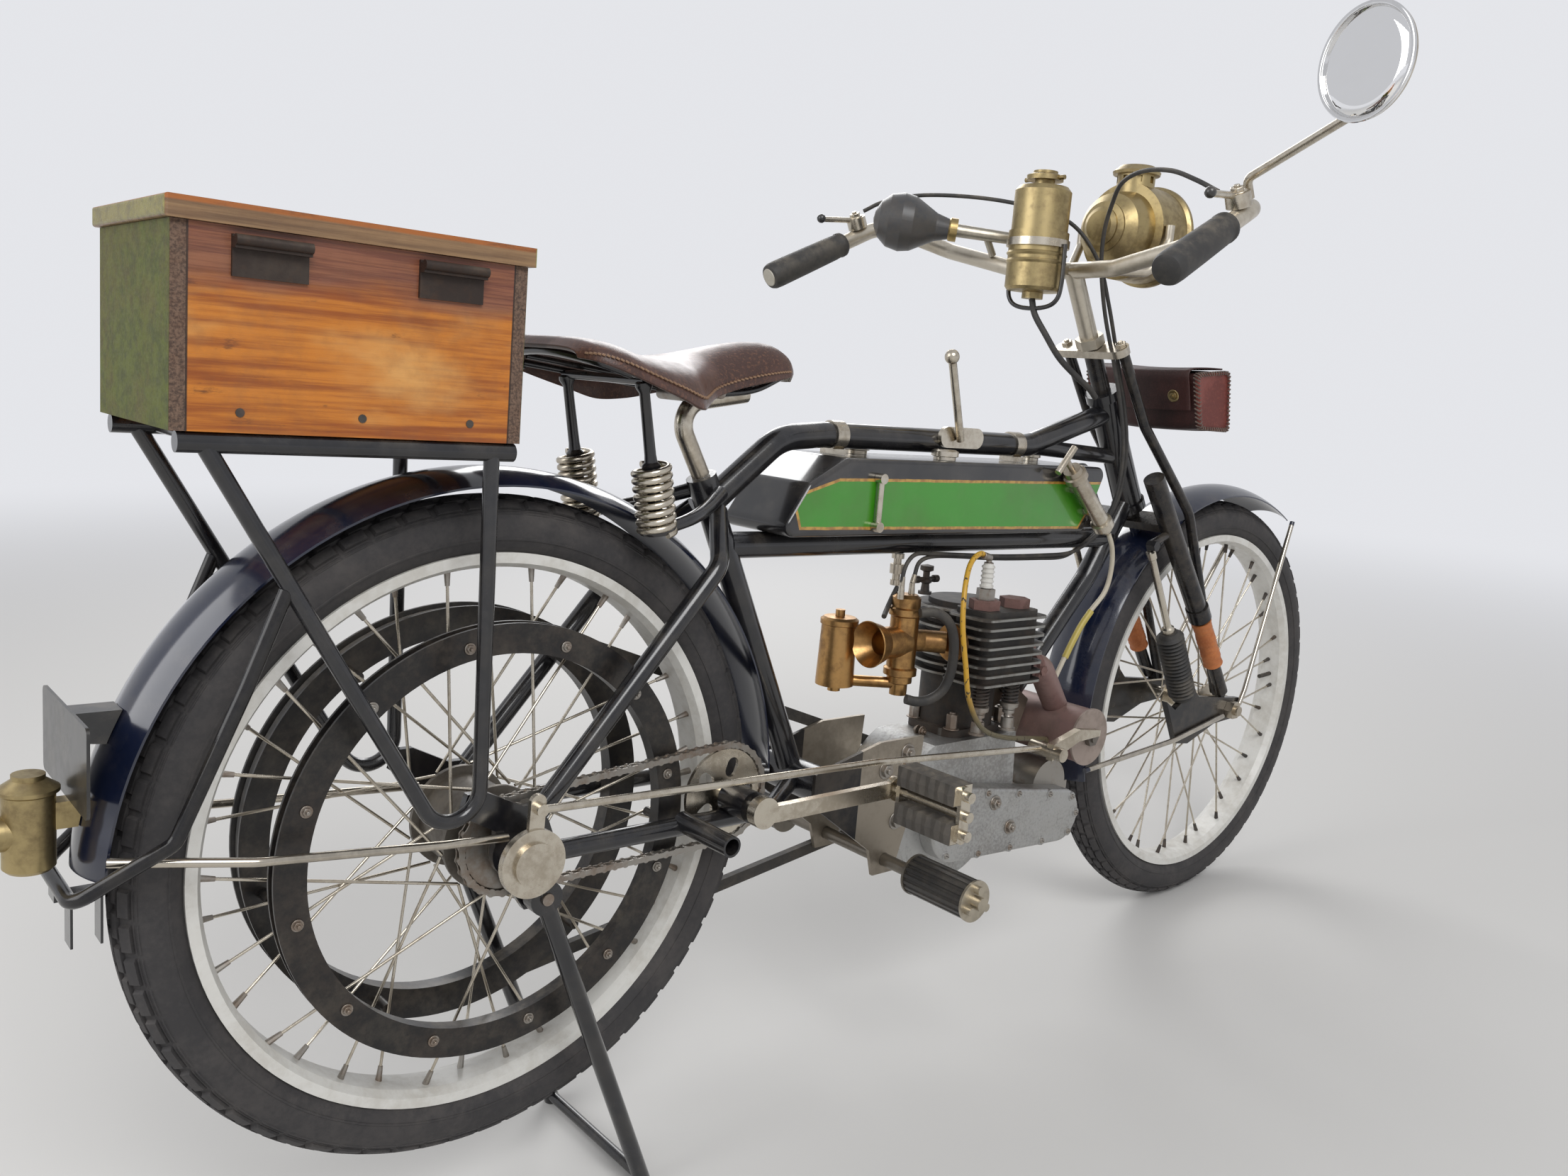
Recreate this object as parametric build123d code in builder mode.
from build123d import *
import math
import os

os.makedirs("parts", exist_ok=True)

# Driving sizes in mm. X is forward, Y is to the rider's left, Z is up.
# Coordinates below are the machine's own: x ahead of the rear axle along the
# wheelbase line, z square to that line. The plane BIKE carries the stand's tilt.
WHEELBASE = 1295
TYRE_R = 330
TYRE_HALF = 31.5
RIM_R = TYRE_R - 53
RIM_HALF = 25
STAND_LIFT = 77
REAR_AXLE_Z = TYRE_R + STAND_LIFT
TILT = math.asin(STAND_LIFT / WHEELBASE)
RUN_GAP = 0.3
SEAT_GAP = 0.3

AHEAD = (math.cos(TILT), 0, -math.sin(TILT))
UPWARD = (math.sin(TILT), 0, math.cos(TILT))
BACKWARD = (-AHEAD[0], 0, -AHEAD[2])
BIKE = Plane(origin=(0, 0, REAR_AXLE_Z), x_dir=AHEAD, z_dir=UPWARD)

# Steering line: rake from the machine's own vertical
RAKE = math.radians(32)
STEER_X = WHEELBASE - 315
STEER_Z = 438
HEAD_LOW_Z = 318
HEAD_TOP_Z = 485
CROWN_LOW_Z = HEAD_LOW_Z - 22
CROWN_TOP_Z = 535
HEAD_R = 21
STEM_R = 12.5
STEM_TOP = 545
CUP_R = 24
CUP_TALL = 11

# Engine: its crankshaft is a fixed distance behind the front axle
CRANK_X = WHEELBASE - 650
CRANK_Z = -66
CASE_R = 97
LUG_HALF = 15
CYL_X = CRANK_X + 60
CYL_BASE_Z = 22
CYL_TOP_Z = 196
FIN_R = 66
FIN_STEP = 12
CARB = (CRANK_X - 79, -22)

# Frame tubes
TUBE_R = 15
STAY_R = 10
SEAT_LUG = (262, 0, 322)
LUG_TOP = (248, 0, 351)
BRACKET = (CRANK_X - 227, 0, -6)
BRACKET_R = 22
PLATE_LEFT = 40.3
PLATE_RIGHT = -60.3
PLATE_THICK = 5
TANK_RAIL_Z = 275
TOP_TUBE_Z = 402
STAY_Y = 77
FORK_END_HALF = 4
PEG = (197, -4)
PEG_R = 11
PEG_BORE = 8.5
PEG_DEEP = 67
PEG_MOUTH_Y = -162
LEG_FOOT = (-43, 54)

# Wheels
HUB_R = 44
REAR_FLANGE_R = HUB_R + 8
REAR_FLANGE_Y = 35.5
AXLE_R = 8
SPOKE_R = 1.5
SPOKES = 36
LACING = 48
WELL_R = RIM_R - 15
BELT_RIM_R = 214
GUARD_GAP = 25
GUARD_HALF = 44
SHEET = 2

# Luggage box
BOX_REAR = -312
BOX_FRONT = -27
BOX_HALF = 98
BOX_LOW = 384.3
BOX_TALL = 150
LID_TALL = 16
LID_OVER = 5
BOARD = 11
CARRIER_R = 7
CARRIER_Y = 92


def steer_at(z):
    """x of the steering line at a height z."""
    return STEER_X - (z - STEER_Z) * math.tan(RAKE)


def at(x, y, z):
    """A point of the machine's own coordinates, in the part's frame."""
    return BIKE.from_local_coords((x, y, z))


def side(y, x=0, z=0):
    """Sketch plane seen from the right: local x ahead, local y up, facing -Y."""
    return Plane(origin=at(x, y, z), x_dir=AHEAD, z_dir=(0, -1, 0))


def level(z, x=0, y=0):
    """Sketch plane square to the machine's vertical."""
    return Plane(origin=at(x, y, z), x_dir=AHEAD, z_dir=UPWARD)


def spoke_plane(x, angle):
    """Plane through an axle at x: local x radial at the angle, local y to the left."""
    a = math.radians(angle)
    radial = at(math.cos(a), 0, math.sin(a)) - at(0, 0, 0)
    return Plane(origin=at(x, 0, 0), x_dir=radial, z_dir=radial.cross(Vector(0, 1, 0)))


def axle_line(x, z=0):
    return Axis(at(x, 0, z), (0, -1, 0))


def tube(points, radius, bend=40):
    """Round bar along a polyline with bent corners."""
    with BuildPart() as run:
        with BuildLine(BIKE) as path:
            if len(points) > 2:
                FilletPolyline(*points, radius=bend)
            else:
                Line(*points)
        with BuildSketch(Plane(path.line @ 0, z_dir=path.line % 0)):
            Circle(radius)
        sweep()
    return run.part


def bar(x, z, y0, y1, radius):
    """Round bar across the machine from y0 to y1."""
    with BuildPart() as run:
        with BuildSketch(side(y0, x, z)):
            Circle(radius)
        extrude(amount=y0 - y1)
    return run.part


def both_sides(points, radius, bend=40):
    """The same tube on the right and on the left."""
    mirrored = [(x, -y, z) for x, y, z in points]
    return [tube(points, radius, bend), tube(mirrored, radius, bend)]


def nut(x, z, y0, y1, radius):
    """Hexagon nut across the machine, radius to its corners."""
    with BuildPart() as run:
        with BuildSketch(side(y0, x, z)):
            RegularPolygon(radius, 6)
        extrude(amount=y0 - y1)
    return run.part


def turned(base, axis, profile):
    """Lathe work on a base point: the profile lists (along the axis, radius)."""
    with BuildPart() as run:
        across = Plane(origin=base, z_dir=axis).x_dir
        with BuildSketch(Plane(origin=base, x_dir=axis, z_dir=Vector(*axis).cross(across))):
            with BuildLine():
                Polyline(*profile, profile[0])
            make_face()
        revolve(axis=Axis(base, axis))
    return run.part


def save(piece, name):
    piece.part.label = name
    export_step(piece.part, f"parts/{name}.step")


# Main frame: head tube, top tube, tank rail, seat tube, down tube
HEAD_LOW = (steer_at(HEAD_LOW_Z), 0, HEAD_LOW_Z)
HEAD_TOP = (steer_at(HEAD_TOP_Z), 0, HEAD_TOP_Z)
with BuildPart() as main_frame:
    add(tube([HEAD_LOW, HEAD_TOP], HEAD_R))
    for low, high in ((HEAD_LOW_Z, HEAD_LOW_Z + CUP_TALL), (HEAD_TOP_Z - CUP_TALL, HEAD_TOP_Z)):
        add(tube([(steer_at(low), 0, low), (steer_at(high), 0, high)], CUP_R))
    add(tube([SEAT_LUG, (355, 0, TOP_TUBE_Z - 6), (420, 0, TOP_TUBE_Z), (WHEELBASE - 500, 0, TOP_TUBE_Z),
              (steer_at(455), 0, 455)], TUBE_R, 70))
    add(tube([(WHEELBASE - 500, 0, TOP_TUBE_Z), (steer_at(392), 0, 392)], TUBE_R - 4))
    add(tube([(290, 0, TANK_RAIL_Z), (WHEELBASE - 292, 0, TANK_RAIL_Z)], TUBE_R))
    add(tube([SEAT_LUG, BRACKET], TUBE_R))
    add(tube([SEAT_LUG, LUG_TOP], TUBE_R + 2))
    add(tube([(steer_at(334), 0, 334), (WHEELBASE - 330, 0, 215), (WHEELBASE - 478, 0, 55)], TUBE_R, 60))
    add(bar(BRACKET[0], BRACKET[2], PLATE_LEFT - SEAT_GAP, PLATE_RIGHT + SEAT_GAP, BRACKET_R))
    with BuildSketch(Plane(at(*HEAD_LOW), z_dir=at(*HEAD_TOP) - at(*HEAD_LOW))):
        Circle(STEM_R + RUN_GAP)
    extrude(amount=400, both=True, mode=Mode.SUBTRACT)
save(main_frame, "main_frame")

# Rear frame: seat stays, chain stays, fork ends and the starter's bracket barrel
BARREL = (262, 12)
SPINDLE_R = 9
with BuildPart() as rear_frame:
    for stay in both_sides([(24, -STAY_Y, 34), (222, -STAY_Y, 266), (258, -22, 316)], STAY_R, 30):
        add(stay)
    for stay in both_sides([(34, -STAY_Y, -8), (BRACKET[0] - 100, -STAY_Y, -10), (BRACKET[0] - 20, -20, -6)],
                           STAY_R, 30):
        add(stay)
    for y in (STAY_Y, -STAY_Y):
        with BuildSketch(side(y)):
            Circle(24)
            with BuildLine():
                Polyline((-22, -8), (-22, 24), (-58, 44), (-52, 64), (-34, 64), (6, 44), (20, 44), (34, 26), (44, 0),
                         (40, -20), (32, -60), (12, -60), (-22, -8))
            make_face()
        extrude(amount=FORK_END_HALF, both=True)
        reach = math.copysign(STAY_Y + FORK_END_HALF, y)
        seat = math.copysign(CARRIER_Y - CARRIER_R - SEAT_GAP, y)
        add(bar(LEG_FOOT[0], LEG_FOOT[1], max(reach, seat), min(reach, seat), 7))
    with BuildSketch(side(0)):
        Circle(AXLE_R + RUN_GAP)
    extrude(amount=120, both=True, mode=Mode.SUBTRACT)
    add(bar(BARREL[0], BARREL[1], -74, -114, 17))
    with BuildSketch(side(0, *BARREL)):
        Circle(SPINDLE_R + RUN_GAP)
    extrude(amount=200, both=True, mode=Mode.SUBTRACT)
    add(bar(*PEG, -STAY_Y, PEG_MOUTH_Y, PEG_R))
    add(bar(*PEG, PEG_MOUTH_Y + PEG_DEEP, PEG_MOUTH_Y - 1, PEG_BORE), mode=Mode.SUBTRACT)
    add(tube([SEAT_LUG, BRACKET], TUBE_R + SEAT_GAP), mode=Mode.SUBTRACT)
    add(bar(BRACKET[0], BRACKET[2], 60, -60, BRACKET_R + SEAT_GAP), mode=Mode.SUBTRACT)
save(rear_frame, "rear_frame")

# Bent seat post
with BuildPart() as seat_post:
    add(tube([(247.5, 0, 352), (205, 0, 425), (300, 0, 441.7)], 10, 26))
save(seat_post, "seat_post")

# Saddle: closed solid of the outer shape
with BuildPart() as saddle:
    with BuildSketch(level(452)):
        with BuildLine():
            Polyline((62, -95), (62, 95), (110, 122), (190, 100), (255, 45), (352, 24), (362, 0),
                     (352, -24), (255, -45), (190, -100), (110, -122), (62, -95))
        make_face()
    extrude(amount=40)
    fillet(saddle.edges().group_by(Axis.Z)[-1], 12)
save(saddle, "saddle")

# Saddle springs on two arms from the seat lug
SPRING_Y = 70
with BuildPart() as saddle_springs:
    for y in (-1, 1):
        add(tube([(146, y * SPRING_Y, 300), (118, y * SPRING_Y, 447.8)], 21))
        add(tube([(256, y * 23.4, 334), (196, y * 60, 320), (146, y * SPRING_Y, 306)], 6, 30))
save(saddle_springs, "saddle_springs")

# Fuel tank between the top tube and the tank rail
TANK_REAR = 318
TANK_FRONT = WHEELBASE - 385
TANK_HALF = 55
TANK_LOW = TANK_RAIL_Z + TUBE_R + SEAT_GAP
TANK_TOP = 380
with BuildPart() as fuel_tank:
    with BuildSketch(side(TANK_HALF)):
        with BuildLine():
            Polyline((TANK_REAR, TANK_LOW), (TANK_FRONT - 40, TANK_LOW), (TANK_FRONT, TANK_TOP),
                     (TANK_REAR + 97, TANK_TOP), (TANK_REAR + 40, 350), (TANK_REAR, TANK_LOW))
        make_face()
    extrude(amount=2 * TANK_HALF)
    fillet(fuel_tank.edges().filter_by(Axis.Y), 12)
    fillet(fuel_tank.faces().filter_by(Axis.Y).edges(), 5)
save(fuel_tank, "fuel_tank")

# Filler caps, tank straps round the top tube, sight gauge, and the fuel tap below the rail
DOWNWARD = (-UPWARD[0], 0, -UPWARD[2])
GAUGE_X = 462
TAP_X = CARB[0]
with BuildPart() as tank_fittings:
    for x, y, r in ((505, 30, 17), (600, -30, 17), (845, 30, 14)):
        add(turned(at(x, y, TANK_TOP + SEAT_GAP), UPWARD, [(0, 0), (0, r - 3), (4, r - 3), (5, r), (11, r),
                                                           (13, r - 4), (13, 0)]))
    for x in (430, WHEELBASE - 538):
        with BuildSketch(Plane(origin=at(x, 0, TOP_TUBE_Z), x_dir=(0, 1, 0), z_dir=AHEAD)):
            Circle(TUBE_R + 2.3)
            with Locations((0, -18.4)):
                Rectangle(26, 6.6)
            Circle(TUBE_R + SEAT_GAP, mode=Mode.SUBTRACT)
        extrude(amount=18)
    add(tube([(GAUGE_X, -61, 298), (GAUGE_X, -61, 362)], 4))
    for z in (302, 358):
        add(bar(GAUGE_X, z, -TANK_HALF - SEAT_GAP, -66, 6))
    add(turned(at(TAP_X, 0, TANK_RAIL_Z - TUBE_R - SEAT_GAP), DOWNWARD, [(0, 0), (0, 8), (6, 8), (6, 5), (13, 5),
                                                                         (13, 9), (25, 9), (25, 5), (33, 5), (33, 7),
                                                                         (40, 7), (40, 0)]))
save(tank_fittings, "tank_fittings")

# Hand oil pump on the tank's right side: barrel, gland, T handle and two clips
PUMP_Y = -72
PUMP_TOP = at(WHEELBASE - 491, PUMP_Y, 377.5)
PUMP_HEADING = (at(WHEELBASE - 393, PUMP_Y, 291.5) - PUMP_TOP).normalized()
with BuildPart() as oil_pump:
    add(turned(PUMP_TOP, PUMP_HEADING, [(-18, 0), (-18, 4), (0, 4), (0, 12), (8, 13), (9, 16), (18, 16), (19, 13),
                                        (24, 11.5), (104, 11.5), (105, 15), (116, 15), (117, 11), (124, 9),
                                        (130, 5), (130, 0)]))
    add(tube([(WHEELBASE - 520, PUMP_Y, 372), (WHEELBASE - 490, PUMP_Y, 406)], 4.5))
    for x, z in ((WHEELBASE - 461, 351), (WHEELBASE - 427, 321)):
        add(bar(x, z, -TANK_HALF - SEAT_GAP, PUMP_Y, 7))
save(oil_pump, "oil_pump")

# Gear lever on the top tube
with BuildPart() as gear_lever:
    with BuildSketch(side(-TUBE_R - SEAT_GAP, 640, 408)):
        SlotOverall(80, 26)
    extrude(amount=6)
    add(tube([(630, -26.6, 405), (575, -48, 505)], 5))
    with Locations(Location(at(575, -48, 505))):
        Sphere(9)
save(gear_lever, "gear_lever")

# Mudguards: thin crowned arcs round each wheel
GUARD_R = TYRE_R + GUARD_GAP


def guard_shell(x, start, sweep_angle):
    """Crowned channel from a start angle, round the axle at x."""
    with BuildPart() as shell:
        with BuildSketch(spoke_plane(x, start)):
            with BuildLine():
                outer = ThreePointArc((GUARD_R - 12, -GUARD_HALF), (GUARD_R + SHEET, 0), (GUARD_R - 12, GUARD_HALF))
                Line(outer @ 1, (GUARD_R - 14, GUARD_HALF))
                inner = ThreePointArc((GUARD_R - 14, GUARD_HALF), (GUARD_R, 0), (GUARD_R - 14, -GUARD_HALF))
                Line(inner @ 1, outer @ 0)
            make_face()
        revolve(axis=axle_line(x), revolution_arc=sweep_angle)
    return shell.part


def guard_block():
    """The rear mudguard's swept space with its seating gap."""
    with BuildPart() as block:
        add(bar(0, 0, GUARD_HALF + SEAT_GAP, -GUARD_HALF - SEAT_GAP, GUARD_R + SHEET + SEAT_GAP))
    return block.part


with BuildPart() as rear_mudguard:
    add(guard_shell(0, 4, 172))
save(rear_mudguard, "rear_mudguard")

# Luggage carrier of bent tube, and the hoop that stays the mudguard's tail
CARRIER_LEG = [(-287, -CARRIER_Y, 377), (-45, -CARRIER_Y, -30), (-50, -CARRIER_Y, 377)]
with BuildPart() as luggage_carrier:
    for loop_tube in both_sides(CARRIER_LEG, CARRIER_R, 28):
        add(loop_tube)
    for rail in both_sides([(-306, -CARRIER_Y, 376), (-30, -CARRIER_Y, 376)], CARRIER_R + 1):
        add(rail)
    for x in (-270, -168, -66):
        add(bar(x, 376, CARRIER_Y, -CARRIER_Y, CARRIER_R - 1))
save(luggage_carrier, "luggage_carrier")

HOOP_X = -366
HOOP_Z = 14
HOOP_R = 6
hoop_right = [(-222, -92, 262), (-252, -92, 185), (-300, -80, 62), (HOOP_X, -50, HOOP_Z)]
hoop_left = [(x, -y, z) for x, y, z in reversed(hoop_right)]
with BuildPart() as mudguard_stays:
    add(tube(hoop_right + hoop_left, HOOP_R, 20))
    for leg in both_sides(CARRIER_LEG, CARRIER_R + SEAT_GAP, 28):
        add(leg, mode=Mode.SUBTRACT)
    for stay in both_sides([(-12, -85.3, 18), (-75, -85.3, 22), (-235, -78, 34), (-341, -47.9, 43)], 4):
        add(stay)
save(mudguard_stays, "mudguard_stays")

# Luggage box: four walls and a floor, open at the top
BOX_LONG = BOX_FRONT - BOX_REAR
BOX_X = (BOX_FRONT + BOX_REAR) / 2
with BuildPart() as luggage_box:
    with BuildSketch(level(BOX_LOW, BOX_X)):
        Rectangle(BOX_LONG, 2 * BOX_HALF)
    extrude(amount=BOX_TALL)
    with BuildSketch(level(BOX_LOW + BOARD, BOX_X)):
        Rectangle(BOX_LONG - 2 * BOARD, 2 * (BOX_HALF - BOARD))
    extrude(amount=BOX_TALL, mode=Mode.SUBTRACT)
save(luggage_box, "luggage_box")

# Box lid, hinged along its right edge
LID_Z = BOX_LOW + BOX_TALL + SEAT_GAP
with BuildPart() as box_lid:
    with BuildSketch(level(LID_Z, BOX_X)):
        Rectangle(BOX_LONG + 2 * LID_OVER, 2 * (BOX_HALF + LID_OVER))
    extrude(amount=LID_TALL)
    fillet(box_lid.faces().sort_by(Axis.Z)[-1].edges(), 3)
save(box_lid, "box_lid")

# Two hinges on the right side of the box, with their knuckles
HINGE_X = (BOX_REAR + 70, BOX_FRONT - 70)
HINGE_Y = -(BOX_HALF + LID_OVER + 5)
HINGE_R = 4
with BuildPart() as lid_hinges:
    for x in HINGE_X:
        with BuildSketch(side(-BOX_HALF, x, LID_Z - 21)):
            Rectangle(56, 30)
        extrude(amount=3)
        with BuildSketch(side(-BOX_HALF - 3, x, LID_Z - 12)):
            Rectangle(56, 8)
        extrude(amount=LID_OVER + 2)
        add(tube([(x - 28, HINGE_Y, LID_Z - 10), (x + 28, HINGE_Y, LID_Z - 10)], HINGE_R))
save(lid_hinges, "lid_hinges")

# Number plate, blank, on its wedge bracket behind the mudguard
PLATE_X = -358
with BuildPart() as number_plate:
    with BuildSketch(Plane(origin=at(PLATE_X, 0, 124), x_dir=(0, -1, 0), z_dir=BACKWARD)):
        RectangleRounded(150, 72, 6)
    extrude(amount=2.5)
    with BuildSketch(side(0)):
        with BuildLine():
            Polyline((PLATE_X, 156), (PLATE_X, 132), (-324, 128), (-315, 156), (PLATE_X, 156))
        make_face()
    extrude(amount=14, both=True)
    add(guard_block(), mode=Mode.SUBTRACT)
save(number_plate, "number_plate")

# Rear lamp below the plate, its red glass to the rear
LAMP_X = -385
with BuildPart() as rear_lamp:
    add(turned(at(LAMP_X, 0, 30), UPWARD, [(0, 0), (0, 16), (3, 19), (62, 19), (64, 22), (67, 22), (74, 12),
                                            (78, 12), (78, 0)]))
    with BuildSketch(Plane(origin=at(LAMP_X - 10, 0, 62), z_dir=BACKWARD)):
        Circle(14)
    extrude(amount=16)
    with BuildSketch(side(8)):
        with BuildLine():
            Polyline((LAMP_X, 62), (LAMP_X, 84), (-336, 84), (-336, 62), (LAMP_X, 62))
        make_face()
    extrude(amount=16)
    add(guard_block(), mode=Mode.SUBTRACT)
save(rear_lamp, "rear_lamp")

# Rear stand, down and on its stop
PIVOT_X = 24
PIVOT_Z = -44
STAND_Y = 94
STAND_BAR = 372
STAND_ANGLE = math.radians(22)


def down_leg(distance, y=0):
    """A point on the stand's leg at a distance from its pivot."""
    return (PIVOT_X + distance * math.sin(STAND_ANGLE), y, PIVOT_Z - distance * math.cos(STAND_ANGLE))


GROUND_AT_FOOT = (-REAR_AXLE_Z + down_leg(380)[0] * math.sin(TILT)) / math.cos(TILT)
STAND_LONG = (PIVOT_Z - GROUND_AT_FOOT) / math.cos(STAND_ANGLE)
with BuildPart() as rear_stand:
    for y in (-STAND_Y, STAND_Y):
        add(tube([down_leg(-10, y), down_leg(STAND_LONG + 20, y)], 9))
        add(bar(PIVOT_X, PIVOT_Z, y + 8, y - 8, 17))
    add(tube([down_leg(STAND_BAR, -STAND_Y), down_leg(STAND_BAR, STAND_Y)], 6))
    with BuildSketch(side(0, PIVOT_X, PIVOT_Z)):
        Circle(6 + RUN_GAP)
    extrude(amount=200, both=True, mode=Mode.SUBTRACT)
    split(bisect_by=Plane.XY, keep=Keep.TOP)
save(rear_stand, "rear_stand")

# Spring clip for the folded stand, two fingers hung from the hoop
FOLDED_X = -346.6
FINGER_OUT = 11
with BuildPart() as stand_clip:
    for x in (FOLDED_X - FINGER_OUT, FOLDED_X + FINGER_OUT):
        with BuildSketch(side(10, x, -18)):
            Rectangle(2, 44)
        extrude(amount=20)
    with BuildSketch(side(10, (HOOP_X + FOLDED_X + FINGER_OUT) / 2, 3.5)):
        Rectangle(FOLDED_X + FINGER_OUT - HOOP_X + 8, 3)
    extrude(amount=20)
    with BuildSketch(side(10, HOOP_X, HOOP_Z - 6)):
        Rectangle(8, 8)
    extrude(amount=20)
    add(bar(HOOP_X, HOOP_Z, 20, -20, HOOP_R + SEAT_GAP), mode=Mode.SUBTRACT)
save(stand_clip, "stand_clip")

# Rear axle with its nuts and the stand's pivot bolts
with BuildPart() as rear_axle:
    add(bar(0, 0, 104, -108.2, AXLE_R))
    add(nut(0, 0, 96, 81.3, 16))
    add(nut(0, 0, -81.3, -96, 16))
    for y in (-1, 1):
        add(bar(PIVOT_X, PIVOT_Z, y * 81.3, y * 105, 6))
save(rear_axle, "rear_axle")

# Rear brake: lever on the axle's right end, its rod, and the foot pedal ahead
BRAKE_Y = -108.5
ROD_Y = -116
with BuildPart() as rear_brake_gear:
    add(bar(0, 0, BRAKE_Y, BRAKE_Y - 7.5, 33))
    add(bar(0, 0, BRAKE_Y - 7.5, BRAKE_Y - 11.5, 21))
    with BuildSketch(side(BRAKE_Y)):
        with Locations((2, 35)):
            SlotOverall(62, 16, rotation=88)
    extrude(amount=5)
    add(bar(4, 52, BRAKE_Y, ROD_Y - 4, 6))
    add(tube([(4, ROD_Y, 52), (440, ROD_Y, 38), (750, ROD_Y, 16)], 4, 200))
    add(bar(752, 14, -98, -150, 9))
    with BuildSketch(side(-128)):
        with BuildLine():
            Polyline((745, 4), (745, 26), (800, 40), (846, 34), (846, 26), (800, 24), (745, 4))
        make_face()
    extrude(amount=10)
save(rear_brake_gear, "rear_brake_gear")

# Wheels


def tyre(x):
    ring = TYRE_R - TYRE_HALF
    with BuildPart() as cover:
        with BuildSketch(spoke_plane(x, 0)):
            with Locations((ring, 0)):
                Circle(TYRE_HALF)
            with Locations((RIM_R + SEAT_GAP - 40, 0)):
                Rectangle(80, 80, mode=Mode.SUBTRACT)
            with Locations((RIM_R - 2, 0)):
                Rectangle(16, 2 * (RIM_HALF - 5))
        revolve(axis=axle_line(x))
    return cover.part


def rim(x):
    with BuildPart() as hoop:
        with BuildSketch(spoke_plane(x, 0)):
            with BuildLine():
                Polyline((WELL_R, -16), (WELL_R, 16), (RIM_R - 10, RIM_HALF), (RIM_R, RIM_HALF),
                         (RIM_R, RIM_HALF - 4), (RIM_R - 10, RIM_HALF - 4), (WELL_R + 3, 14), (WELL_R + 3, -14),
                         (RIM_R - 10, 4 - RIM_HALF), (RIM_R, 4 - RIM_HALF), (RIM_R, -RIM_HALF),
                         (RIM_R - 10, -RIM_HALF), (WELL_R, -16))
            make_face()
        revolve(axis=axle_line(x))
    return hoop.part


def spoke_ends(x, number, flange_r, flange_y):
    """Foot at the hub's flange and tip at the rim of one crossed spoke."""
    left = 1 if number % 2 else -1
    lean = LACING if (number // 2) % 2 else -LACING
    tip = math.radians(number * 360 / SPOKES)
    foot = tip + math.radians(lean)
    cross = left * math.copysign(2, lean)
    inner = flange_r + SEAT_GAP + SPOKE_R
    outer = WELL_R - 1
    return ((x + inner * math.cos(foot), left * flange_y + cross, inner * math.sin(foot)),
            (x + outer * math.cos(tip), left * 6 + cross, outer * math.sin(tip)))


def spokes(x, flange_r, flange_y):
    """Crossed spokes from two flanges to the rim's well."""
    with BuildPart() as wires:
        for number in range(SPOKES):
            add(tube(spoke_ends(x, number, flange_r, flange_y), SPOKE_R))
    return wires.part


def hub(x, outline):
    with BuildPart() as shell:
        with BuildSketch(spoke_plane(x, 0)):
            with BuildLine():
                Polyline(*outline, outline[0])
            make_face()
        revolve(axis=axle_line(x))
    return shell.part


BORE = AXLE_R + RUN_GAP
with BuildPart() as rear_tyre:
    add(tyre(0))
save(rear_tyre, "rear_tyre")

with BuildPart() as front_tyre:
    add(tyre(WHEELBASE))
save(front_tyre, "front_tyre")

with BuildPart() as rear_rim:
    add(rim(0))
save(rear_rim, "rear_rim")

with BuildPart() as front_rim:
    add(rim(WHEELBASE))
save(front_rim, "front_rim")

with BuildPart() as rear_hub:
    add(hub(0, [(BORE, -66), (20, -66), (20, -40), (HUB_R + 8, -38), (HUB_R + 8, -33), (HUB_R, -33),
                (HUB_R, 33), (HUB_R + 8, 33), (HUB_R + 8, 38), (20, 40), (20, 66), (BORE, 66)]))
save(rear_hub, "rear_hub")

with BuildPart() as front_hub:
    add(hub(WHEELBASE, [(BORE, -44), (15, -44), (15, -34), (32, -33), (32, -29), (17, -27), (17, 27),
                        (32, 29), (32, 33), (15, 34), (15, 44), (BORE, 44)]))
save(front_hub, "front_hub")

with BuildPart() as rear_spokes:
    add(spokes(0, REAR_FLANGE_R, REAR_FLANGE_Y))
save(rear_spokes, "rear_spokes")

with BuildPart() as front_spokes:
    add(spokes(WHEELBASE, 32, 31))
save(front_spokes, "front_spokes")

def spoke_at_radius(number, radius):
    """The point of a rear spoke at a distance from the axle's line."""
    (x0, y0, z0), (x1, y1, z1) = spoke_ends(0, number, REAR_FLANGE_R, REAR_FLANGE_Y)
    dx, dz = x1 - x0, z1 - z0
    a = dx * dx + dz * dz
    b = x0 * dx + z0 * dz
    c = x0 * x0 + z0 * z0 - radius * radius
    share = (math.sqrt(b * b - a * c) - b) / a
    return x0 + dx * share, y0 + (y1 - y0) * share, z0 + dz * share


# Belt rims of the rear wheel, each clipped to six spokes: V rim on the left, flat ring on the right
with BuildPart() as belt_rims:
    with BuildSketch(spoke_plane(0, 0)):
        with BuildLine():
            Polyline((185, 42), (BELT_RIM_R, 38), (BELT_RIM_R, 41), (194, 46), (194, 56), (BELT_RIM_R, 61),
                     (BELT_RIM_R, 64), (185, 60), (185, 42))
        make_face()
    revolve(axis=axle_line(0))
    with BuildSketch(spoke_plane(0, 0)):
        with BuildLine():
            Polyline((185, -36), (BELT_RIM_R, -36), (BELT_RIM_R, -39), (194, -40), (194, -47), (BELT_RIM_R, -48),
                     (BELT_RIM_R, -51), (185, -51), (185, -36))
        make_face()
    revolve(axis=axle_line(0))
    for number in list(range(1, SPOKES, 6)) + list(range(0, SPOKES, 6)):
        x, y, z = spoke_at_radius(number, BELT_RIM_R - 18)
        face = 41 if y > 0 else -37
        near = y + math.copysign(SPOKE_R + 1.1, y)
        add(bar(x, z, max(face, near), min(face, near), 5))
save(belt_rims, "belt_rims")

# Drive belt round the engine pulley and the left belt rim
BELT_Y = 51
PULLEY_R = 52


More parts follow.
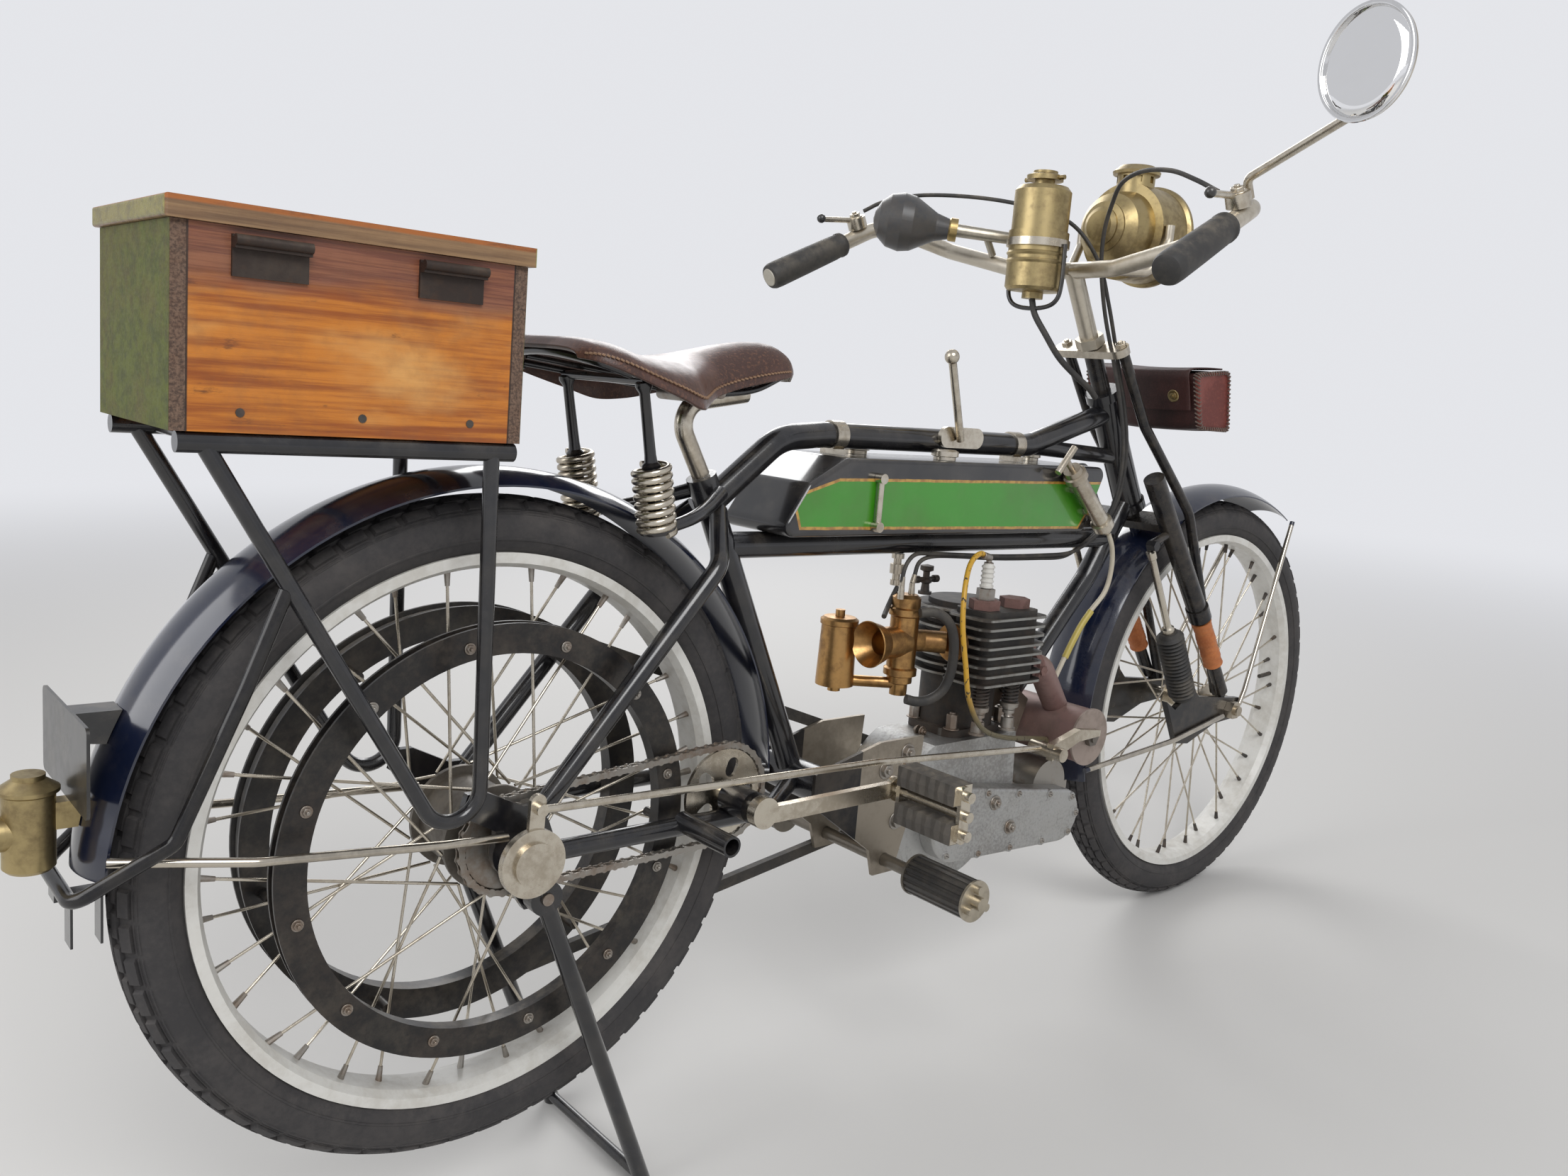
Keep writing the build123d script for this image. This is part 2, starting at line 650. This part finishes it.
def loop_outline(xa, za, ra, xb, zb, rb):
    """Closed outline round two circles, as tangent lines and arcs."""
    gap = math.hypot(xb - xa, zb - za)
    heading = math.atan2(zb - za, xb - xa)
    spread = math.acos((ra - rb) / gap)
    corners = []
    for turn in (spread, -spread):
        a = heading + turn
        corners.append(((xa + ra * math.cos(a), za + ra * math.sin(a)), (xb + rb * math.cos(a), zb + rb * math.sin(a))))
    (a_top, b_top), (a_low, b_low) = corners
    a_mid = (xa - ra * math.cos(heading), za - ra * math.sin(heading))
    b_mid = (xb + rb * math.cos(heading), zb + rb * math.sin(heading))
    with BuildLine() as outline:
        Line(a_top, b_top)
        ThreePointArc(b_top, b_mid, b_low)
        Line(b_low, a_low)
        ThreePointArc(a_low, a_mid, a_top)
    return outline.line


def loop(y, half, xa, za, ra, xb, zb, rb, thick):
    """Flat loop of a belt or chain round two wheels."""
    with BuildPart() as run:
        with BuildSketch(side(y)):
            add(loop_outline(xa, za, ra + thick, xb, zb, rb + thick))
            make_face()
            with BuildSketch(mode=Mode.PRIVATE) as hole:
                add(loop_outline(xa, za, ra, xb, zb, rb))
                make_face()
            add(hole.sketch, mode=Mode.SUBTRACT)
        extrude(amount=half, both=True)
    return run.part


with BuildPart() as drive_belt:
    add(loop(BELT_Y, 4.5, 0, 0, 197, CRANK_X, CRANK_Z, PULLEY_R - 14, 14))
save(drive_belt, "drive_belt")

with BuildPart() as engine_pulley:
    with BuildSketch(Plane(origin=at(CRANK_X, 0, CRANK_Z), x_dir=AHEAD, z_dir=UPWARD)):
        with BuildLine():
            Polyline((0, 40.3), (20, 40.3), (20, 42), (PULLEY_R, 42), (PULLEY_R, 44), (PULLEY_R - 17, 46),
                     (PULLEY_R - 17, 56), (PULLEY_R, 60), (PULLEY_R, 62), (20, 64), (20, 72), (0, 72), (0, 40.3))
        make_face()
    revolve(axis=axle_line(CRANK_X, CRANK_Z))
save(engine_pulley, "engine_pulley")

# Starter: free-wheel sprocket, roller chain, ring with its crank and pedal
CHAIN_Y = -60.5
SPROCKET_R = 42
RING_R = 50
LINKS = 66
LINK_R = 4.1
LINK_WAIST = 2.9
ROLLER_R = 3.1
PLATE_IN = 2.6
PLATE_OUT = 4.2
LINK_TURN = math.radians(48)


def chain_pins():
    """Evenly spaced pins round both wheels, each with the chain's heading there."""
    run = Wire(loop_outline(0, 0, SPROCKET_R + SEAT_GAP + LINK_R, *BARREL, RING_R + RUN_GAP + LINK_R).edges())
    pins = []
    middle = Vector(BARREL[0] / 2, BARREL[1] / 2)
    for number in range(LINKS):
        place, heading = run @ (number / LINKS), run % (number / LINKS)
        out = heading.cross(Vector(0, 0, 1))
        pins.append((place, heading, out if out.dot(place - middle) > 0 else out * -1))
    return pins


def link_edge(pins, side_sign):
    """Closed edge of the link plates, outside (1) or inside (-1): a round at each pin, a waist between."""
    with BuildLine() as edge:
        for (here, along, out), (there, next_along, next_out) in zip(pins, pins[1:] + pins[:1]):
            cos, sin = LINK_R * math.cos(LINK_TURN), LINK_R * math.sin(LINK_TURN)
            start = here + out * side_sign * cos - along * sin
            end = here + out * side_sign * cos + along * sin
            following = there + next_out * side_sign * cos - next_along * sin
            waist = (here + there) * 0.5 + (out + next_out) * 0.5 * side_sign * LINK_WAIST
            ThreePointArc(start, here + out * side_sign * LINK_R, end)
            ThreePointArc(end, waist, following)
    return edge.line


with BuildPart() as starter_chain:
    pins = chain_pins()
    for y in (PLATE_OUT, -PLATE_IN):
        with BuildSketch(side(CHAIN_Y + y)):
            add(link_edge(pins, 1))
            make_face()
            with BuildSketch(mode=Mode.PRIVATE) as hole:
                add(link_edge(pins, -1))
                make_face()
            add(hole.sketch, mode=Mode.SUBTRACT)
        extrude(amount=PLATE_OUT - PLATE_IN)
    with BuildSketch(side(CHAIN_Y + PLATE_IN + 0.5)):
        with Locations(*[(place.X, place.Y) for place, heading, out in pins]):
            Circle(ROLLER_R)
    extrude(amount=2 * PLATE_IN + 1)
    with BuildSketch(side(CHAIN_Y)):
        Circle(SPROCKET_R)
        Circle(20 + RUN_GAP, mode=Mode.SUBTRACT)
    extrude(amount=2.2, both=True)
save(starter_chain, "starter_chain")

CRANK_LONG = 200
CRANK_Y = -124
with BuildPart() as starter_crank:
    with BuildSketch(side(CHAIN_Y, *BARREL)):
        Circle(RING_R)
        with PolarLocations(30, 5):
            SlotOverall(22, 15, mode=Mode.SUBTRACT)
    extrude(amount=2, both=True)
    add(bar(BARREL[0], BARREL[1], CHAIN_Y - 2, CRANK_Y - 10, 9))
    with BuildSketch(side(CRANK_Y, *BARREL)):
        Circle(17)
    extrude(amount=12)
    with BuildSketch(side(CRANK_Y - 1, *BARREL)):
        with Locations((CRANK_LONG / 2, -4)):
            Rectangle(CRANK_LONG, 18)
        with Locations((CRANK_LONG, -4)):
            Circle(14)
    extrude(amount=9)
save(starter_crank, "starter_crank")

PEDAL_X = BARREL[0] + CRANK_LONG
PEDAL_Z = BARREL[1] - 4
with BuildPart() as starter_pedal:
    add(bar(PEDAL_X, PEDAL_Z, CRANK_Y - 10.3, CRANK_Y - 112, 6))
    for z in (-22, 22):
        with BuildSketch(side(CRANK_Y - 20, PEDAL_X, PEDAL_Z + z)):
            Rectangle(28, 22)
        extrude(amount=86)
    for y in (CRANK_Y - 15, CRANK_Y - 106):
        with BuildSketch(side(y, PEDAL_X, PEDAL_Z)):
            SlotOverall(66, 16, rotation=90)
        extrude(amount=5)
    for z in (-22, 0, 22):
        add(bar(PEDAL_X, PEDAL_Z + z, CRANK_Y - 111, CRANK_Y - 119, 6))
save(starter_pedal, "starter_pedal")

# Crankcase
with BuildPart() as crankcase:
    with BuildSketch(side(40)):
        with Locations((CRANK_X, CRANK_Z)):
            Circle(CASE_R)
        with BuildLine():
            Polyline((CRANK_X - 70, CRANK_Z), (CYL_X - 78, CYL_BASE_Z - SEAT_GAP), (CYL_X + 60, CYL_BASE_Z - SEAT_GAP),
                     (CYL_X + 66, CRANK_Z), (CRANK_X - 70, CRANK_Z))
        make_face()
    extrude(amount=100)
    add(bar(CRANK_X, CRANK_Z, -7, -13, CASE_R + 4))
    with BuildSketch(side(LUG_HALF)):
        with BuildLine():
            Polyline((CYL_X + 25, -34), (CYL_X + 25, 14), (CYL_X + 91, 4), (CYL_X + 91, -24), (CYL_X + 25, -34))
        make_face()
    extrude(amount=2 * LUG_HALF)
    split(bisect_by=level(CYL_BASE_Z - SEAT_GAP), keep=Keep.BOTTOM)
save(crankcase, "crankcase")

# Timing cover: two lobes over the timing gears and the magneto drive
COVER_REAR = (CRANK_X - 5, -82, 50)
COVER_FRONT = (CRANK_X + 213, -105, 38)
with BuildPart() as timing_cover:
    with BuildSketch(side(-60 - SEAT_GAP)):
        add(loop_outline(*COVER_REAR, *COVER_FRONT))
        make_face()
    extrude(amount=24)
    fillet(timing_cover.faces().sort_by(Axis.Y)[0].edges(), 5)
save(timing_cover, "timing_cover")

# Cylinder with its fins and side valve chest
FIN_COUNT = 8
with BuildPart() as cylinder:
    with BuildSketch(level(CYL_BASE_Z, CYL_X)):
        with Locations((0, -5)):
            RectangleRounded(118, 88, 20)
    extrude(amount=10)
    with BuildSketch(level(CYL_BASE_Z, CYL_X)):
        Circle(50)
    extrude(amount=CYL_TOP_Z - CYL_BASE_Z)
    with BuildSketch(level(CYL_BASE_Z + 78, CYL_X - 12, -64)):
        RectangleRounded(104, 62, 14)
    extrude(amount=CYL_TOP_Z - CYL_BASE_Z - 78)
    for i in range(FIN_COUNT):
        with BuildSketch(level(CYL_BASE_Z + 80 + i * FIN_STEP, CYL_X)):
            Circle(FIN_R)
            with Locations((-12, -66)):
                RectangleRounded(128, 72, 16)
        extrude(amount=3)
save(cylinder, "cylinder")

# Valve caps on top of the chest, and the spark plug
with BuildPart() as valve_caps:
    for x, y in ((CYL_X - 42, -66), (CYL_X + 18, -66)):
        with BuildSketch(level(CYL_TOP_Z + SEAT_GAP, x, y)):
            RegularPolygon(20, 6)
        extrude(amount=12)
save(valve_caps, "valve_caps")

with BuildPart() as spark_plug:
    with BuildSketch(level(CYL_TOP_Z + 12 + 2 * SEAT_GAP, CYL_X - 42, -66)):
        RegularPolygon(12, 6)
    extrude(amount=14)
    with BuildSketch(level(CYL_TOP_Z + 26, CYL_X - 42, -66)):
        Circle(6)
    extrude(amount=34)
save(spark_plug, "spark_plug")

# Valve stems, springs and tappet guides below the chest
with BuildPart() as valve_gear:
    for x in (CYL_X - 42, CYL_X + 18):
        with BuildSketch(level(CYL_BASE_Z + SEAT_GAP + 12, x, -76)):
            Circle(11)
        extrude(amount=20)
        with BuildSketch(level(CYL_BASE_Z + 30, x, -76)):
            Circle(5)
        extrude(amount=14)
        with BuildSketch(level(CYL_BASE_Z + 42, x, -76)):
            Circle(12)
        extrude(amount=35)
save(valve_gear, "valve_gear")

# Carburettor: mixing chamber, air trumpet behind it, inlet pipe ahead, float chamber on its arm
FLOAT = (CARB[0] - 66, 26)
CARB_Z = 152
with BuildPart() as carburettor:
    add(turned(at(*CARB, 84), UPWARD, [(0, 0), (0, 11), (14, 11), (16, 16), (24, 16), (26, 21), (34, 21), (36, 18),
                                       (100, 18), (102, 21), (110, 21), (112, 18), (124, 18), (128, 13), (128, 0)]))
    add(turned(at(CARB[0], CARB[1], CARB_Z), BACKWARD, [(0, 0), (0, 20), (38, 20), (44, 24), (60, 29), (61, 28),
                                                        (48, 20), (40, 15), (21, 15), (21, 0)]))
    add(tube([(CARB[0] + 10, CARB[1], CARB_Z), (CARB[0] + 30, -28, CARB_Z), (CARB[0] + 51, -48, CARB_Z)], 14, 16))
    with BuildSketch(Plane(origin=at(CYL_X - 76.3, -52, CARB_Z), z_dir=BACKWARD)):
        Circle(24)
    extrude(amount=6)
    add(turned(at(*FLOAT, 84), UPWARD, [(0, 0), (0, 8), (7, 8), (8, 24), (14, 24), (84, 22), (85, 24), (91, 24),
                                        (94, 20), (95, 6), (103, 6), (103, 0)]))
    add(tube([(FLOAT[0], FLOAT[1], 98), (CARB[0] - 6, CARB[1] + 4, 98)], 7))
save(carburettor, "carburettor")

# Exhaust pipe and the silencer drum across the frame
DRUM = (CRANK_X + 221, 14)
DRUM_R = 38
with BuildPart() as exhaust_pipe:
    add(tube([(CYL_X + 52.4, -66, 112), (CYL_X + 87, -66, 112), (DRUM[0] - 2, -50, DRUM[1] + 26)], 17, 30))
    add(bar(DRUM[0], DRUM[1], 80, -120, DRUM_R + SEAT_GAP), mode=Mode.SUBTRACT)
save(exhaust_pipe, "exhaust_pipe")

with BuildPart() as silencer:
    add(bar(DRUM[0], DRUM[1], 60, -108, DRUM_R))
    for y in (60, -105):
        add(bar(DRUM[0], DRUM[1], y, y - 3, DRUM_R + 2))
    add(bar(DRUM[0], DRUM[1], -108, -118, 6))
    add(nut(DRUM[0], DRUM[1], -109, -115, 12))
save(silencer, "silencer")

# Magneto ahead of the crankcase
with BuildPart() as magneto:
    with BuildSketch(side(36)):
        with Locations((CRANK_X + 207, -100)):
            Rectangle(84, 70)
        with Locations((CRANK_X + 207, -66)):
            Circle(36)
    extrude(amount=96)
    add(bar(CRANK_X + 207, -84, 46, 36, 26))
save(magneto, "magneto")

# Engine plates between the bracket and the case, and the pair ahead of it
REST_BAR = (CRANK_X - 121, -112)
REST_R = 8
with BuildPart() as engine_plates:
    for y in (PLATE_LEFT + PLATE_THICK, PLATE_RIGHT):
        with BuildSketch(side(y)):
            with BuildLine():
                Polyline((BRACKET[0] - 22, -24), (BRACKET[0] - 22, 14), (CRANK_X - 145, 40), (CRANK_X - 70, 40),
                         (CRANK_X - 75, -40), (CRANK_X - 93, -96), (CRANK_X - 103, -130), (CRANK_X - 139, -130),
                         (CRANK_X - 149, -96), (BRACKET[0] - 22, -24))
            make_face()
            with Locations(REST_BAR):
                Circle(REST_R + SEAT_GAP, mode=Mode.SUBTRACT)
        extrude(amount=PLATE_THICK)
    for y in (LUG_HALF + SEAT_GAP + PLATE_THICK, -LUG_HALF - SEAT_GAP):
        with BuildSketch(side(y)):
            with BuildLine():
                Polyline((CYL_X + 73, -28), (CYL_X + 73, 12), (CYL_X + 101, 70), (CYL_X + 131, 50),
                         (CYL_X + 101, -28), (CYL_X + 73, -28))
            make_face()
        extrude(amount=PLATE_THICK)
save(engine_plates, "engine_plates")

# Footrests on one bar below the engine: fluted rubbers between their end plates
RUBBER_R = 24
FLUTES = 18
with BuildPart() as footrests:
    add(bar(*REST_BAR, 218, -225, REST_R))
    for y in (-1, 1):
        with BuildSketch(side(max(y * 120, y * 212), *REST_BAR)):
            Circle(RUBBER_R)
            with PolarLocations(RUBBER_R + 0.5, FLUTES):
                Circle(2.3, mode=Mode.SUBTRACT)
        extrude(amount=92)
        for edge in (120, 212):
            with BuildSketch(side(y * edge + 1.5, *REST_BAR)):
                Circle(RUBBER_R + 1)
            extrude(amount=3)
        with BuildSketch(side(max(y * 212, y * 221), *REST_BAR)):
            with PolarLocations(15, 3, 90):
                Circle(5)
        extrude(amount=9)
save(footrests, "footrests")

# Front fork: struts, main tubes, crown and bottom links, round the steering line
FORK_Y = 68
STRUT_Y = 52
LINK_HALF = 5
SLEEVE = ((WHEELBASE - 115, 154), (WHEELBASE - 22, 30))


def steer_point(along, ahead=0, y=0):
    """A point at a distance along the steering line from its foot, and ahead of it."""
    x = STEER_X + (STEER_Z - along) * math.tan(RAKE) + ahead
    return (x, y, along)


SLIDER_R = 10
ROD_NUT_IN = FORK_Y - 1
ROD_NUT_OUT = FORK_Y + 13


def fork_tube_end(share, y):
    """A point of the lower fork tube, from the main tube's mouth to the link."""
    (x0, z0), (x1, z1) = SLEEVE
    return (x0 + (x1 - x0) * share, y * FORK_Y, z0 + (z1 - z0) * share)


with BuildPart() as front_fork:
    add(tube([steer_point(CROWN_LOW_Z), steer_point(STEM_TOP)], STEM_R))
    for y in (-1, 1):
        add(tube([steer_point(CROWN_TOP_Z, 8, y * 46), steer_point(440, 20, y * 46),
                  (WHEELBASE - 160, y * 52.2, 316),
                  (WHEELBASE - 14, y * STRUT_Y, 26)], 7.5, 60))
        add(tube([steer_point(368, -16, y * 66), fork_tube_end(0, y)], 15))
        add(tube([fork_tube_end(-0.16, y), fork_tube_end(-0.01, y)], 17.5))
        add(tube([fork_tube_end(0, y), fork_tube_end(1, y)], SLIDER_R))
        add(nut(WHEELBASE - 280, 272, max(y * ROD_NUT_IN, y * ROD_NUT_OUT),
                min(y * ROD_NUT_IN, y * ROD_NUT_OUT), 8))
        add(tube([(WHEELBASE - 225, y * 67, 290), (WHEELBASE - 280, y * FORK_Y, 272)], 6))
        add(bar(WHEELBASE - 14, 26, max(y * FORK_Y, y * STRUT_Y), min(y * FORK_Y, y * STRUT_Y), 7.5))
    for z, wide, thick in ((CROWN_TOP_Z, 118, 11), (CROWN_LOW_Z, 150, 13)):
        with BuildSketch(Plane(at(steer_at(z), 0, z), x_dir=(0, 1, 0), z_dir=at(*HEAD_TOP) - at(*HEAD_LOW))):
            SlotOverall(wide, 30)
        extrude(amount=thick)
    for y in (-1, 1):
        with BuildSketch(side(y * FORK_Y)):
            with BuildLine():
                Polyline((WHEELBASE - 186, 30), (WHEELBASE - 160, 15.1), (WHEELBASE - 112, 44), (WHEELBASE - 96, 30),
                         (WHEELBASE - 30, 22), (WHEELBASE + 30, 16), (WHEELBASE + 30, -16), (WHEELBASE - 40, -20),
                         (WHEELBASE - 112, -44), (WHEELBASE - 144, -40), (WHEELBASE - 186, 30))
            make_face()
        extrude(amount=LINK_HALF, both=True)
    with BuildSketch(side(0, WHEELBASE, 0)):
        Circle(AXLE_R + 0.1)
    extrude(amount=120, both=True, mode=Mode.SUBTRACT)
save(front_fork, "front_fork")

# Front mudguard with its stays
with BuildPart() as front_mudguard:
    add(guard_shell(WHEELBASE, 62, 132))
    for y in (-1, 1):
        add(tube([(WHEELBASE + 22, y * (FORK_Y + 9.3), 6), (WHEELBASE + 34, y * (FORK_Y + 9.3), 30),
                  (WHEELBASE + 172, y * 47, 300)], 4))
        add(tube([(WHEELBASE - 24, y * (FORK_Y + 9.3), -8), (WHEELBASE - 160, y * (FORK_Y + 9.3), -32),
                  (WHEELBASE - 340, y * 47, -64)], 4))
    add(tube([(WHEELBASE - 215.6, 0, 283.4), (WHEELBASE - 224.75, 0, 295.44)], 8))
save(front_mudguard, "front_mudguard")

# Pull rods with their bellows, and the leather gaiters round the lower tubes
with BuildPart() as fork_springs:
    for y in (-1, 1):
        add(tube([(WHEELBASE - 276, y * FORK_Y, 264.6), (WHEELBASE - 199.8, y * FORK_Y, 140.3)], 6))
        add(tube([(WHEELBASE - 199, y * FORK_Y, 139), (WHEELBASE - 134.35, y * FORK_Y, 31.2)], 21))
save(fork_springs, "fork_springs")

with BuildPart() as fork_gaiters:
    for y in (-1, 1):
        add(tube([fork_tube_end(0.02, y), fork_tube_end(0.58, y)], 16))
        add(tube([fork_tube_end(-0.05, y), fork_tube_end(0.7, y)], SLIDER_R + SEAT_GAP), mode=Mode.SUBTRACT)
save(fork_gaiters, "fork_gaiters")

with BuildPart() as front_axle:
    add(bar(WHEELBASE, 0, 92, -92, AXLE_R))
    add(nut(WHEELBASE, 0, 86, FORK_Y + LINK_HALF + SEAT_GAP, 15))
    add(nut(WHEELBASE, 0, -FORK_Y - LINK_HALF - SEAT_GAP, -86, 15))
save(front_axle, "front_axle")

# Handlebar with its stem and the lamp's bracket
LAMP = (WHEELBASE - 335, 0, 706)
BAR_R = 11
BEND = (WHEELBASE - 513, 300, 702)
BAR_END = (WHEELBASE - 703, 318, 606)


def grip_at(share, y):
    """A point on the bar's straight end, at a share of the way from its bend."""
    x, out, z = [a + (b - a) * share for a, b in zip(BEND, BAR_END)]
    return (x, y * out, z)


BAR_TOP = (steer_at(640), 0, 640)
with BuildPart() as handlebar:
    add(tube([steer_point(STEM_TOP + SEAT_GAP), BAR_TOP], STEM_R))
    with BuildSketch(Plane(at(*steer_point(STEM_TOP + SEAT_GAP)), z_dir=at(*HEAD_TOP) - at(*HEAD_LOW))):
        RegularPolygon(20, 6)
    extrude(amount=14)
    for y in (-1, 1):
        add(tube([BAR_TOP, (WHEELBASE - 460, y * 80, 640), (WHEELBASE - 467, y * 205, 668),
                  (BEND[0], y * BEND[1], BEND[2]), grip_at(1, y)], BAR_R, 45))
        add(tube([(WHEELBASE - 442, y * 30, 641), (LAMP[0] - 30, y * 66, 646), (LAMP[0], y * 72.4, 690),
                  (LAMP[0], y * 72.4, 712)], 6, 16))
save(handlebar, "handlebar")

with BuildPart() as handlebar_grips:
    for y in (-1, 1):
        add(tube([grip_at(0.38, y), grip_at(1.03, y)], 17))
        add(tube([grip_at(0.3, y), grip_at(1.002, y)], BAR_R + SEAT_GAP), mode=Mode.SUBTRACT)
save(handlebar_grips, "handlebar_grips")

BAR_SLOPE = math.atan2(BEND[2] - BAR_END[2], BEND[0] - BAR_END[0])


def above_bar(share, y, rise):
    """A point square above the bar's straight end."""
    x, out, z = grip_at(share, y)
    return (x - rise * math.sin(BAR_SLOPE), out, z + rise * math.cos(BAR_SLOPE))


with BuildPart() as hand_levers:
    for y in (-1, 1):
        foot = above_bar(0.22, y, BAR_R + SEAT_GAP)
        top = above_bar(0.22, y, BAR_R + 20)
        with BuildSketch(Plane(at(*foot), z_dir=at(*top) - at(*foot))):
            Circle(14)
        extrude(amount=16)
        add(tube([above_bar(0.22, y, BAR_R + 12), above_bar(0.5, y, BAR_R + 34)], 4))
save(hand_levers, "hand_levers")

# Acetylene headlamp on its bracket: stepped back, drum with a recessed mouth, vented chimney
CHIMNEY_R = 26
VENTS = 8
with BuildPart() as headlamp:
    add(turned(at(*LAMP), AHEAD, [(-62, 0), (-62, 20), (-58, 26), (-55, 26), (-52, 34), (-49, 34), (-38, 47),
                                  (-20, 52), (-8, 54), (-7, 66), (52, 66), (56, 70), (62, 70), (62, 64),
                                  (56, 62), (22, 30), (14, 0)]))
    add(turned(at(LAMP[0] + 12, 0, LAMP[2]), UPWARD, [(38, 0), (38, CHIMNEY_R), (78, CHIMNEY_R), (78, 32), (82, 33),
                                                      (90, 24), (92, 0)]))
    with Locations(level(LAMP[2] + 71, LAMP[0] + 12)):
        with PolarLocations(CHIMNEY_R, VENTS):
            Box(8, 7, 9, mode=Mode.SUBTRACT)
save(headlamp, "headlamp")

# Acetylene generator behind the bars: beaded body, foot, cap with its water screw
GENERATOR = (WHEELBASE - 505, 14, 596)
with BuildPart() as gas_generator:
    add(turned(at(*GENERATOR), UPWARD, [(0, 0), (0, 14), (8, 14), (10, 35), (14, 38), (44, 38), (47, 40), (50, 38),
                                        (54, 38), (57, 40), (60, 38), (76, 38), (76, 39.5), (86, 39.5), (86, 37),
                                        (138, 37), (144, 32), (146, 13), (152, 13), (152, 24), (158, 24), (161, 16),
                                        (164, 16), (164, 0)]))
    add(bar(GENERATOR[0], GENERATOR[2] + 155, GENERATOR[1] + 32, GENERATOR[1] - 32, 3))
    with BuildSketch(Plane(origin=at(GENERATOR[0] + 30, 14, 640), z_dir=AHEAD)):
        Circle(7)
    extrude(amount=17.4)
save(gas_generator, "gas_generator")

# Bulb horn: rubber bulb, ferrule, reed tube and flared bell in one line
HORN = at(WHEELBASE - 571, 205, 694)
HORN_HEADING = (at(WHEELBASE - 479, 110, 684) - HORN).normalized()
with BuildPart() as bulb_horn:
    add(turned(HORN, HORN_HEADING, [(-40, 0), (-38, 12), (-31, 25), (-18, 36), (0, 40), (16, 37), (32, 28), (48, 19),
                                    (66, 14), (68, 16), (78, 16), (78, 9), (160, 8), (176, 10), (190, 17), (200, 28),
                                    (206, 38), (207, 37), (192, 15), (180, 6), (178, 0)]))
    add(tube([(WHEELBASE - 489, 120, 685), (WHEELBASE - 469.9, 120, 659.6)], 5))
save(bulb_horn, "bulb_horn")

# Mirror on its stalk: dished back, rolled rim, glass face to the rider
MIRROR = (WHEELBASE - 592, -440, 819)
with BuildPart() as mirror:
    add(tube([above_bar(0.09, -1, BAR_R + 0.6), above_bar(0.1, -1, 34), (MIRROR[0] + 11.6, -443, 779)], 5, 12))
    add(turned(at(*MIRROR), (-0.966, 0.259, 0), [(-20, 0), (-18, 26), (-12, 44), (-5, 56), (-1, 57), (1, 56), (1, 53),
                                                 (-1, 53), (-1, 0)]))
save(mirror, "mirror")

# Leather tool bag in front of the head
with BuildPart() as tool_bag:
    with BuildSketch(level(440, WHEELBASE - 212)):
        RectangleRounded(136, 190, 20)
    extrude(amount=90)
    for y in (52, -40):
        with BuildSketch(side(y)):
            with BuildLine():
                Polyline((WHEELBASE - 290, 446), (WHEELBASE - 275, 446), (WHEELBASE - 275, 462),
                         (WHEELBASE - 302, 462), (WHEELBASE - 290, 446))
            make_face()
        extrude(amount=12)
save(tool_bag, "tool_bag")
